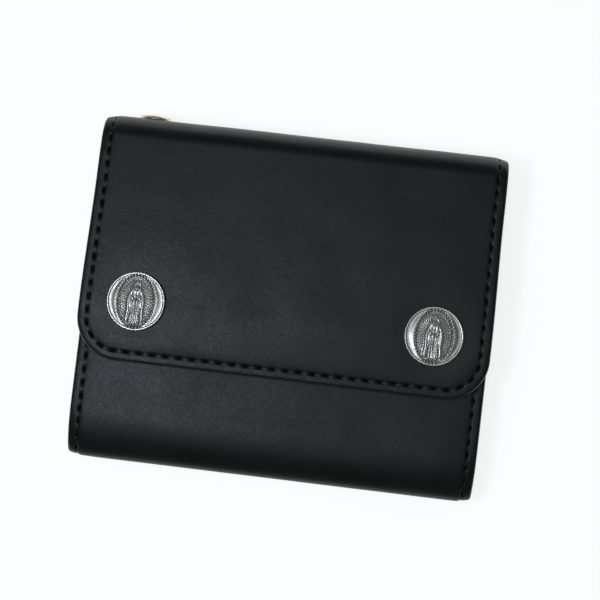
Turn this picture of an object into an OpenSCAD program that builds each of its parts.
// Trifold leather chain wallet, lying on its back with the snap flap facing up.
// Origin: on the surface it lies on, under the middle of the closed wallet.
// +X to the wallet's right, +Y towards the top fold with the chain grommet, +Z out of the flap.

/* [Wallet] */
// Width along the folds
wallet_w = 115; // [113:1:118]
// Height of the closed wallet from fold to fold
wallet_h = 97; // [96:1:99]
// Thickness of the closed wallet at the flap
closed_t = 20; // [20:0.1:20.4]
// Thickness of the closed wallet at the front section, under the flap
front_t = 14.8; // [14.7:0.1:14.9]
// Outer radius where the leather turns at each fold
fold_r = 6; // [5.6:0.1:6]
// Radius of the flap's two lower corners
flap_corner_r = 12; // [9:1:14]

/* [Leather] */
// Thickness of the outer leather
leather_t = 1.6; // [1.5:0.05:1.6]
// Thickness of the leather lining
lining_t = 0.8; // [0.7:0.05:0.8]
// How far the stitch line lies inside each edge
stitch_in = 2.7; // [2.5:0.1:3]
// Distance from one stitch to the next
stitch_pitch = 3.75; // [3:0.25:5]

/* [Snaps] */
// Distance from the middle of the wallet to each snap
snap_x = 41.6; // [38:0.2:43]
// Radius of the ornamental cap
cap_r = 8.3; // [7.5:0.1:8.6]
// Height of the ornamental cap above the flap
cap_h = 2.2; // [2:0.1:2.6]

/* [Chain grommet] */
// Distance from the middle of the wallet to the grommet
grommet_x = 43.8; // [40:0.2:45]
// Radius of the hole for the chain
grommet_bore_r = 2.5; // [2.2:0.1:2.5]
// Height of the domed flange above the leather
grommet_rise = 1.2; // [1:0.1:1.4]

/* [Zip] */
// Distance from one zip tooth to the next
tooth_pitch = 2; // [1.8:0.1:2.4]
// Length of the zip's pull tab
pull_len = 16; // [12:1:17]

/* [Hidden] */

$fn = 64;
skin = 0.05;          // shallow clearance between trim and leather
far = 200;            // longer than the whole wallet
mitre = 0.5;          // half the angle left open between two leathers that meet at a hinge line

black = "#202224";
brown_black = "#2a2624";
thread_black = "#101012";
silver = "#a9a8a2";
steel = "#8d8f92";
brass = "#8a8468";

// Outer faces of the two folds: the grommet's flange counts in the overall height
bottom_y = -(wallet_h + grommet_rise) / 2;
top_y = bottom_y + wallet_h;

// Centres of the four round fold corners in the YZ plane
back_top = [top_y - fold_r, fold_r];
flap_top = [top_y - fold_r, closed_t - fold_r];
back_bottom = [bottom_y + fold_r, fold_r];
front_bottom = [bottom_y + fold_r, front_t - fold_r];

shell_t = leather_t + lining_t;
stitch_x = wallet_w / 2 - stitch_in;
groove_w = 1.2;
groove_d = 0.4;
stitch_len = 2.5;
stitch_w = 0.6;
stitch_t = groove_d - skin;

// Inner panels of the back section, from the lining upwards
panel_w = wallet_w - 1;
panel_low_y = back_bottom[0] + 0.6;
seam_w = 4.5;
divider_z = 2.8;
divider_t = 0.6;
divider_top_y = 38;
card_panel_z = 3.6;
card_panel_t = 1;
card_panel_top_y = 36;
pocket_t = 0.5;
pocket_gap = 0.3;
pocket_step = 12;
pocket_z = card_panel_z + card_panel_t + pocket_gap;
pocket_top_y = 27;
thumb_r = 9;

// The flap ends above the middle of the front section
flap_edge_y = -21.3;
flap_z = closed_t - leather_t;

// The front section carries the coin pocket with its zip along the top edge
front_top_y = 19;
front_lining_z = front_t - shell_t;
coin_wall_t = 0.6;
coin_wall_z = 8.8;
coin_space_z = coin_wall_z + coin_wall_t;
coin_space_t = front_lining_z - coin_space_z;
front_pocket_z = 8;
front_pocket_top_y = 8;
gusset_t = 0.8;

// Snap: cap and post on the flap, socket under it, stud and its post on the front section
snap_y = -4.3;
post_r = 1.4;
post_hole_r = 1.6;
socket_r = 6;
socket_wall_r = 4.8;
socket_bore_r = 3.5;
socket_flange_z = 17;
socket_disc_z = 17.2;
socket_low_z = 15.4;
lining_low_z = closed_t - shell_t;
post_head_r = 2;
post_head_z = 17;
spring_r = 3.32;
spring_wire_r = 0.16;
spring_z = 16.2;
stud_flange_r = 4;
stud_flange_t = 0.3;
stud_neck_r = 2;
stud_head_r = 2.6;
stud_neck_h = 1.1;
stud_h = 1.9;
eyelet_r = 4.5;
eyelet_t = 0.5;

// Grommet through the middle of the top fold
grommet_z = closed_t / 2;
barrel_r = grommet_bore_r + 0.5;
barrel_hole_r = barrel_r + skin;
flange_r = 4.85;
washer_t = 0.8;
washer_r = flange_r - 0.9;
washer_y = top_y - shell_t - washer_t;
roll_t = 0.4;
roll_r = barrel_r + 0.6;

// Zip: the chain lies along X just past the front section's top edge
zip_z = coin_space_z + coin_space_t / 2;
tape_t = 0.4;
tape_low_y = 9;
tape_top_y = 20.2;
teeth_half_w = 46;
tooth_w = 1.3;
tooth_y = 1.6;
tooth_out = 1.6;
tooth_in = 0.6;
chain_top_y = tape_top_y + tooth_y;
stop_w = 1.6;

// Zip slider and pull; at rest the slider is at the closed end of the chain
slider_x = 42;
slider_len = 9;
slider_plate_t = 1;
slider_plate_half = 3.2;
slider_plate_y = chain_top_y + 0.3;
slider_wall_in = tooth_out + 0.3;
slider_wall_t = 0.6;
slider_wall_y = tape_top_y + 0.7;
slider_inner_half = 0.8;
slider_inner_t = 0.8;
bridge_half = 0.35;
bridge_len = 3;
lug_half_x = 1.2;
lug_half_z = 1.2;
lug_h = 2.2;
pin_r = 0.5;
pin_bore_r = 0.56;
pin_y = slider_plate_y + slider_plate_t + 1.2;
pull_half_w = 2.3;
pull_t = 1.2;
pull_arm_in = 1.5;
pull_arm_len = 4;
pull_fork_gap = 2.4;
pull_eye_r = 0.9;
pull_hole_r = 1.2;

// ---- shapes shared by several pieces ----

// Extrudes an outline drawn in the YZ plane along X, centred on the wallet
module along_x(w) {
  rotate([90, 0, 90])
    translate([0, 0, -w / 2])
      linear_extrude(w) children();
}

// Part of a fold's round corner, from d0 to d1 below the outer surface and from angle a0 to a1
module corner_arc(centre, d0, d1, a0, a1) {
  reach = 2 * fold_r;
  translate(centre)
    intersection() {
      difference() {
        circle(fold_r - d0);
        circle(fold_r - d1);
      }
      polygon([[0, 0], reach * [cos(a0), sin(a0)], reach * [cos(a1), sin(a1)]]);
    }
}

// Section of each shell between depths d0 and d1 below its outer surface
module back_section(d0, d1) {
  translate([back_bottom[0], d0])
    square([back_top[0] - back_bottom[0], d1 - d0]);
  corner_arc(back_top, d0, d1, -90, -45 - mitre);
  corner_arc(back_bottom, d0, d1, -135 + mitre, -90);
}

module top_fold_section(d0, d1) {
  translate([top_y - d1, back_top[1]])
    square([d1 - d0, flap_top[1] - back_top[1]]);
  corner_arc(back_top, d0, d1, -45 + mitre, 0);
  corner_arc(flap_top, d0, d1, 0, 45 - mitre);
}

module bottom_fold_section(d0, d1) {
  translate([bottom_y + d0, back_bottom[1]])
    square([d1 - d0, front_bottom[1] - back_bottom[1]]);
  corner_arc(back_bottom, d0, d1, 180, 225 - mitre);
  corner_arc(front_bottom, d0, d1, 135 + mitre, 180);
}

module front_section(d0, d1) {
  translate([front_bottom[0], front_t - d1])
    square([front_top_y - front_bottom[0], d1 - d0]);
  corner_arc(front_bottom, d0, d1, 90, 135 - mitre);
}

// The two pressed stitch lines near the side edges, given a section of their depth
module side_grooves() {
  for (side = [-1, 1])
    translate([side * stitch_x, 0, 0]) along_x(groove_w) children();
}

// Flat outline of the flap, drawn inset from its edges
module flap_outline(inset) {
  half_w = wallet_w / 2 - inset;
  r = flap_corner_r - inset;
  corner_y = flap_edge_y + flap_corner_r;
  translate([-half_w, corner_y])
    square([2 * half_w, flap_top[0] - corner_y]);
  translate([r - half_w, flap_edge_y + inset])
    square([2 * (half_w - r), r]);
  for (side = [-1, 1])
    translate([side * (half_w - r), corner_y]) circle(r);
}

// Number and first place of the stitches that fit between two ends
function stitch_count(a, b) = floor((b - a - stitch_len) / stitch_pitch) + 1;
function stitch_start(a, b) = (a + b - (stitch_count(a, b) - 1) * stitch_pitch) / 2;

// One stitch, lying along Y with its middle at the origin
module stitch() {
  translate([-stitch_w / 2, -stitch_len / 2, 0]) cube([stitch_w, stitch_len, stitch_t]);
}

// Rows of stitches along both sides between two Y places, seated from height z
module side_stitches(y0, y1, z) {
  for (side = [-1, 1], i = [0 : stitch_count(y0, y1) - 1])
    translate([side * stitch_x, stitch_start(y0, y1) + i * stitch_pitch, z]) stitch();
}

// A row of stitches along X between two X places at a given Y
module cross_stitches(x0, x1, y, z) {
  for (i = [0 : stitch_count(x0, x1) - 1])
    translate([stitch_start(x0, x1) + i * stitch_pitch, y, z]) rotate([0, 0, 90]) stitch();
}

// Stitches on a fold's upright face, seated from y towards the outside
module fold_stitches(y, z0, z1) {
  for (side = [-1, 1], i = [0 : stitch_count(z0, z1) - 1])
    translate([side * stitch_x, y, stitch_start(z0, z1) + i * stitch_pitch])
      rotate([90, 0, 0]) stitch();
}

// A pocket sheet of leather with seams down both sides and along the bottom that rest on the layer below
module pocket_sheet(z, t, drop, y0, y1, notch = 0) {
  difference() {
    union() {
      translate([-panel_w / 2, y0, z]) cube([panel_w, y1 - y0, t]);
      for (side = [-1, 1])
        translate([side * (panel_w - seam_w) / 2 - seam_w / 2, y0, z - drop])
          cube([seam_w, y1 - y0, drop + t]);
      translate([-panel_w / 2, y0, z - drop]) cube([panel_w, seam_w, drop + t]);
    }
    if (notch > 0)
      translate([0, y1 + notch / 2, z - drop - 1]) cylinder(r = notch, h = drop + t + 2);
  }
}

// Holes for both snaps, from z0 to z1
module snap_holes(z0, z1) {
  for (side = [-1, 1])
    translate([side * snap_x, snap_y, z0]) cylinder(r = post_hole_r, h = z1 - z0);
}

// Hole for the grommet's barrel, along Y through the top fold
module barrel_hole() {
  translate([-grommet_x, top_y - shell_t - 2, grommet_z])
    rotate([-90, 0, 0]) cylinder(r = barrel_hole_r, h = shell_t + 4);
}

// ---- back section ----

module back_leather() {
  color(black)
    difference() {
      along_x(wallet_w) back_section(0, leather_t);
      side_grooves() back_section(-1, groove_d);
    }
}

module back_lining() {
  color(brown_black) along_x(panel_w) back_section(leather_t, shell_t);
}

module bill_divider() {
  color(brown_black)
    pocket_sheet(divider_z, divider_t, divider_z - shell_t, panel_low_y, divider_top_y);
}

module card_panel() {
  color(black)
    pocket_sheet(card_panel_z, card_panel_t, card_panel_z - divider_z - divider_t,
                 panel_low_y, card_panel_top_y);
}

// Card pockets, numbered from the deepest one; each is lower than the one behind it
module card_pocket(i) {
  color(black)
    pocket_sheet(pocket_z + i * (pocket_t + pocket_gap), pocket_t, pocket_gap,
                 panel_low_y, pocket_top_y - i * pocket_step, thumb_r);
}

module card_pocket_stitching() {
  z = pocket_z + 2 * (pocket_t + pocket_gap) + pocket_t;
  color(thread_black)
    side_stitches(panel_low_y + 1, pocket_top_y - 2 * pocket_step - 1, z);
}

module back_stitching() {
  color(thread_black) side_stitches(back_bottom[0], back_top[0], skin);
}

// ---- top fold with the chain grommet ----

module top_fold_leather() {
  color(black)
    difference() {
      along_x(wallet_w) top_fold_section(0, leather_t);
      side_grooves() top_fold_section(-1, groove_d);
      barrel_hole();
    }
}

module top_fold_lining() {
  color(brown_black)
    difference() {
      along_x(panel_w) top_fold_section(leather_t, shell_t);
      barrel_hole();
    }
}

module top_fold_stitching() {
  color(thread_black) fold_stitches(top_y - skin, back_top[1], flap_top[1]);
}

// Turned shapes on the grommet's axis: the profile's X is the radius and its Y the distance along +Y
module on_grommet_axis() {
  translate([-grommet_x, 0, grommet_z])
    rotate([-90, 0, 0]) rotate_extrude() children();
}

module grommet() {
  dome_r = flange_r - grommet_bore_r;
  color(brass)
    on_grommet_axis() {
      translate([grommet_bore_r, washer_y - roll_t])
        square([barrel_r - grommet_bore_r, top_y - washer_y + roll_t]);
      translate([grommet_bore_r, washer_y - roll_t]) square([roll_r - grommet_bore_r, roll_t]);
      intersection() {
        translate([grommet_bore_r, top_y]) square([dome_r, grommet_rise]);
        translate([grommet_bore_r + dome_r / 2, top_y - dome_r / 2 + grommet_rise / 2])
          circle(dome_r / 2 + grommet_rise / 2);
      }
    }
}

module grommet_washer() {
  color(brass)
    on_grommet_axis()
      translate([barrel_r, washer_y]) square([washer_r - barrel_r, washer_t]);
}

// ---- flap with the snap caps and sockets ----

module flap_leather() {
  color(black)
    difference() {
      union() {
        translate([0, 0, flap_z]) linear_extrude(leather_t) flap_outline(0);
        along_x(wallet_w) corner_arc(flap_top, 0, leather_t, 45 + mitre, 90);
      }
      translate([0, 0, closed_t - groove_d])
        linear_extrude(1)
          difference() {
            flap_outline(stitch_in - groove_w / 2);
            translate([0, skin]) flap_outline(stitch_in + groove_w / 2);
          }
      side_grooves() corner_arc(flap_top, -1, groove_d, 45 + mitre, 90);
      snap_holes(flap_z - 1, closed_t + 1);
    }
}

module flap_lining() {
  inset = (wallet_w - panel_w) / 2;
  color(brown_black)
    difference() {
      union() {
        translate([0, 0, lining_low_z]) linear_extrude(lining_t) flap_outline(inset);
        along_x(panel_w) corner_arc(flap_top, leather_t, shell_t, 45 + mitre, 90);
      }
      snap_holes(lining_low_z - 1, flap_z + 1);
    }
}

module flap_stitching() {
  corner_y = flap_edge_y + flap_corner_r;
  turn_r = flap_corner_r - stitch_in;
  turn_n = floor(turn_r * PI / 2 / stitch_pitch);
  z = closed_t - groove_d;
  color(thread_black) {
    side_stitches(corner_y, flap_top[0], z);
    cross_stitches(flap_corner_r - wallet_w / 2, wallet_w / 2 - flap_corner_r,
                   flap_edge_y + stitch_in, z);
    for (side = [-1, 1], i = [0.5 : turn_n - 0.5])
      translate([side * (wallet_w / 2 - flap_corner_r), corner_y, z])
        rotate([0, 0, side * (i * 90 / turn_n - 90)])
          translate([side * turn_r, 0, 0]) stitch();
  }
}

// Ornamental cap: a low dome with an oval hollow that holds a plain robed figure, and its rivet post
module concho(side) {
  rim_h = 0.8;
  dome_h = cap_h - rim_h;
  dome_r = (cap_r * cap_r + dome_h * dome_h) / (2 * dome_h);
  oval_r = 0.84 * cap_r;
  oval_shape = [0.62, 1, 1];
  oval_d = 0.6;
  figure_h = oval_d + 0.1;
  robe_r = 4.2;
  robe_shape = [0.42, 1, 0.28];
  robe_y = -1.2;
  head_r = 1.1;
  head_shape = [1, 1, 0.8];
  head_y = 4;
  color(silver)
    translate([side * snap_x, snap_y, closed_t]) {
      difference() {
        intersection() {
          translate([0, 0, cap_h - dome_r]) sphere(dome_r, $fn = 128);
          cylinder(r = cap_r, h = cap_h);
        }
        translate([0, 0, cap_h - oval_d]) scale(oval_shape) cylinder(r = oval_r, h = 2);
      }
      translate([0, 0, cap_h - figure_h])
        intersection() {
          union() {
            translate([0, robe_y, 0]) scale(robe_shape) sphere(robe_r);
            translate([0, head_y, 0]) scale(head_shape) sphere(head_r);
          }
          translate([-cap_r, -cap_r, 0]) cube([2 * cap_r, 2 * cap_r, figure_h]);
        }
      translate([0, 0, socket_disc_z - closed_t])
        cylinder(r = post_r, h = closed_t - socket_disc_z);
      translate([0, 0, post_head_z - closed_t])
        cylinder(r = post_head_r, h = socket_disc_z - post_head_z);
    }
}

module snap_socket(side) {
  color(silver)
    translate([side * snap_x, snap_y, 0])
      difference() {
        union() {
          translate([0, 0, socket_flange_z])
            cylinder(r = socket_r, h = lining_low_z - socket_flange_z);
          translate([0, 0, socket_low_z])
            cylinder(r = socket_wall_r, h = lining_low_z - socket_low_z);
        }
        translate([0, 0, socket_low_z - 1])
          cylinder(r = socket_bore_r, h = socket_disc_z - socket_low_z + 1);
        translate([0, 0, socket_low_z]) cylinder(r = post_r, h = far);
      }
}

// Wire rings that grip the studs inside the sockets
module snap_springs() {
  color(steel)
    for (side = [-1, 1])
      translate([side * snap_x, snap_y, spring_z])
        rotate_extrude() translate([spring_r, 0]) circle(spring_wire_r, $fn = 16);
}

// ---- bottom fold ----

module bottom_fold_leather() {
  color(black)
    difference() {
      along_x(wallet_w) bottom_fold_section(0, leather_t);
      side_grooves() bottom_fold_section(-1, groove_d);
    }
}

module bottom_fold_lining() {
  color(brown_black) along_x(panel_w) bottom_fold_section(leather_t, shell_t);
}

module bottom_fold_stitching() {
  middle = (back_bottom[1] + front_bottom[1]) / 2;
  color(thread_black)
    fold_stitches(bottom_y + groove_d, middle - stitch_len / 2, middle + stitch_len / 2);
}

// ---- front section with the zipped coin pocket ----

module front_leather() {
  color(black)
    difference() {
      along_x(wallet_w) front_section(0, leather_t);
      side_grooves() front_section(-1, groove_d);
      translate([-stitch_x, front_top_y - stitch_in - groove_w / 2, front_t - groove_d])
        cube([2 * stitch_x, groove_w, 1]);
      snap_holes(front_t - leather_t - 1, front_t + 1);
    }
}

module front_lining() {
  color(brown_black)
    difference() {
      along_x(panel_w) front_section(leather_t, shell_t);
      snap_holes(front_lining_z - 1, front_t - leather_t + 1);
    }
}

module front_stitching() {
  z = front_t - groove_d;
  color(thread_black) {
    side_stitches(front_bottom[0], front_top_y - stitch_in - stitch_w, z);
    cross_stitches(stitch_w - stitch_x, stitch_x - stitch_w, front_top_y - stitch_in, z);
  }
}

module coin_pocket_wall() {
  color(brown_black) {
    translate([-panel_w / 2, panel_low_y, coin_wall_z])
      cube([panel_w, front_top_y - panel_low_y, coin_wall_t]);
    translate([-panel_w / 2, panel_low_y, coin_space_z])
      cube([panel_w, gusset_t, coin_space_t]);
  }
}

// Folded strips that close the coin pocket's two sides
module coin_gusset(side) {
  y0 = panel_low_y + gusset_t;
  color(brown_black)
    translate([side * (panel_w - gusset_t) / 2 - gusset_t / 2, y0, coin_space_z])
      cube([gusset_t, front_top_y - y0, coin_space_t]);
}

module front_card_pocket() {
  y0 = panel_low_y;
  seam_z = front_pocket_z + pocket_t;
  color(black) {
    translate([-panel_w / 2, y0, front_pocket_z])
      cube([panel_w, front_pocket_top_y - y0, pocket_t]);
    for (side = [-1, 1])
      translate([side * (panel_w - seam_w) / 2 - seam_w / 2, y0, seam_z])
        cube([seam_w, front_pocket_top_y - y0, coin_wall_z - seam_z]);
  }
}

module snap_stud(side) {
  color(silver)
    translate([side * snap_x, snap_y, front_t]) {
      difference() {
        union() {
          cylinder(r = stud_flange_r, h = stud_flange_t);
          cylinder(r = stud_neck_r, h = stud_h);
          translate([0, 0, stud_neck_h]) cylinder(r = stud_head_r, h = stud_h - stud_neck_h);
        }
        translate([0, 0, -1]) cylinder(r = post_r, h = 2);
      }
    }
}

// Eyelet behind the front lining whose post is pressed into the stud
module stud_post(side) {
  color(steel)
    translate([side * snap_x, snap_y, front_lining_z - eyelet_t]) {
      cylinder(r = eyelet_r, h = eyelet_t);
      cylinder(r = post_r, h = eyelet_t + shell_t + 1);
    }
}

// ---- zip ----

// Tapes along the pocket's mouth: side +1 is sewn to the front lining, -1 to the pocket's wall
module zip_tape(side) {
  wall = coin_space_t / 2;
  color(thread_black)
    translate([-(panel_w / 2 - gusset_t), tape_low_y, zip_z + (side > 0 ? wall - tape_t : -wall)])
      cube([panel_w - 2 * gusset_t, tape_top_y - tape_low_y, tape_t]);
}

module zip_teeth() {
  color(brass)
    for (side = [-1, 1], x = [-teeth_half_w : tooth_pitch : teeth_half_w])
      translate([x - tooth_w / 2, tape_top_y, zip_z + (side > 0 ? tooth_in : -tooth_out)])
        cube([tooth_w, tooth_y, tooth_out - tooth_in]);
}

module zip_stops() {
  color(brass)
    for (side = [-1, 1])
      translate([side * (teeth_half_w + stop_w) - stop_w / 2, tape_top_y, zip_z - tooth_out])
        cube([stop_w, tooth_y, 2 * tooth_out]);
}

module zip_slider() {
  inner_y = tape_top_y - slider_plate_t;
  color(steel)
    translate([slider_x, 0, zip_z])
      difference() {
        union() {
          translate([-slider_len / 2, slider_plate_y, -slider_plate_half])
            cube([slider_len, slider_plate_t, 2 * slider_plate_half]);
          for (side = [-1, 1])
            translate([-slider_len / 2, slider_wall_y,
                       side * (slider_wall_in + slider_wall_t / 2) - slider_wall_t / 2])
              cube([slider_len, slider_plate_y - slider_wall_y, slider_wall_t]);
          translate([slider_len / 2 - bridge_len, inner_y, -bridge_half])
            cube([bridge_len, slider_plate_y - inner_y, 2 * bridge_half]);
          translate([-slider_len / 2, inner_y, -slider_inner_half])
            cube([slider_len, slider_inner_t, 2 * slider_inner_half]);
          translate([-lug_half_x, slider_plate_y + slider_plate_t, -lug_half_z])
            cube([2 * lug_half_x, lug_h, 2 * lug_half_z]);
        }
        translate([0, pin_y, -far / 2]) cylinder(r = pin_bore_r, h = far);
      }
}

// Pull tab with a fork round the slider's lug; it lies along -X at rest
module zip_pull() {
  color(steel)
    translate([slider_x, pin_y, zip_z]) {
      translate([0, 0, -pull_half_w]) cylinder(r = pin_r, h = 2 * pull_half_w);
      for (side = [-1, 1])
        translate([0, 0, side > 0 ? pull_arm_in : -pull_half_w]) {
          cylinder(r = pull_eye_r, h = pull_half_w - pull_arm_in);
          translate([-pull_arm_len, -pull_t / 2, 0])
            cube([pull_arm_len, pull_t, pull_half_w - pull_arm_in]);
        }
      difference() {
        translate([-pull_len, -pull_t / 2, -pull_half_w])
          cube([pull_len - pull_fork_gap, pull_t, 2 * pull_half_w]);
        translate([2 * pull_hole_r - pull_len, pull_t, 0])
          rotate([90, 0, 0]) cylinder(r = pull_hole_r, h = 2 * pull_t);
      }
    }
}

back_leather();
back_lining();
bill_divider();
card_panel();
card_pocket(0);  // card_pocket_top
card_pocket(1);  // card_pocket_middle
card_pocket(2);  // card_pocket_bottom
card_pocket_stitching();
back_stitching();
top_fold_leather();
top_fold_lining();
top_fold_stitching();
grommet();
grommet_washer();
flap_leather();
flap_lining();
flap_stitching();
concho(-1);  // concho_left
concho(1);  // concho_right
snap_socket(-1);  // snap_socket_left
snap_socket(1);  // snap_socket_right
snap_springs();
bottom_fold_leather();
bottom_fold_lining();
bottom_fold_stitching();
front_leather();
front_lining();
front_stitching();
coin_pocket_wall();
coin_gusset(-1);  // coin_gusset_left
coin_gusset(1);  // coin_gusset_right
front_card_pocket();
snap_stud(-1);  // snap_stud_left
snap_stud(1);  // snap_stud_right
stud_post(-1);  // stud_post_left
stud_post(1);  // stud_post_right
zip_tape(1);  // zip_tape_outer
zip_tape(-1);  // zip_tape_inner
zip_teeth();
zip_stops();
zip_slider();
zip_pull();
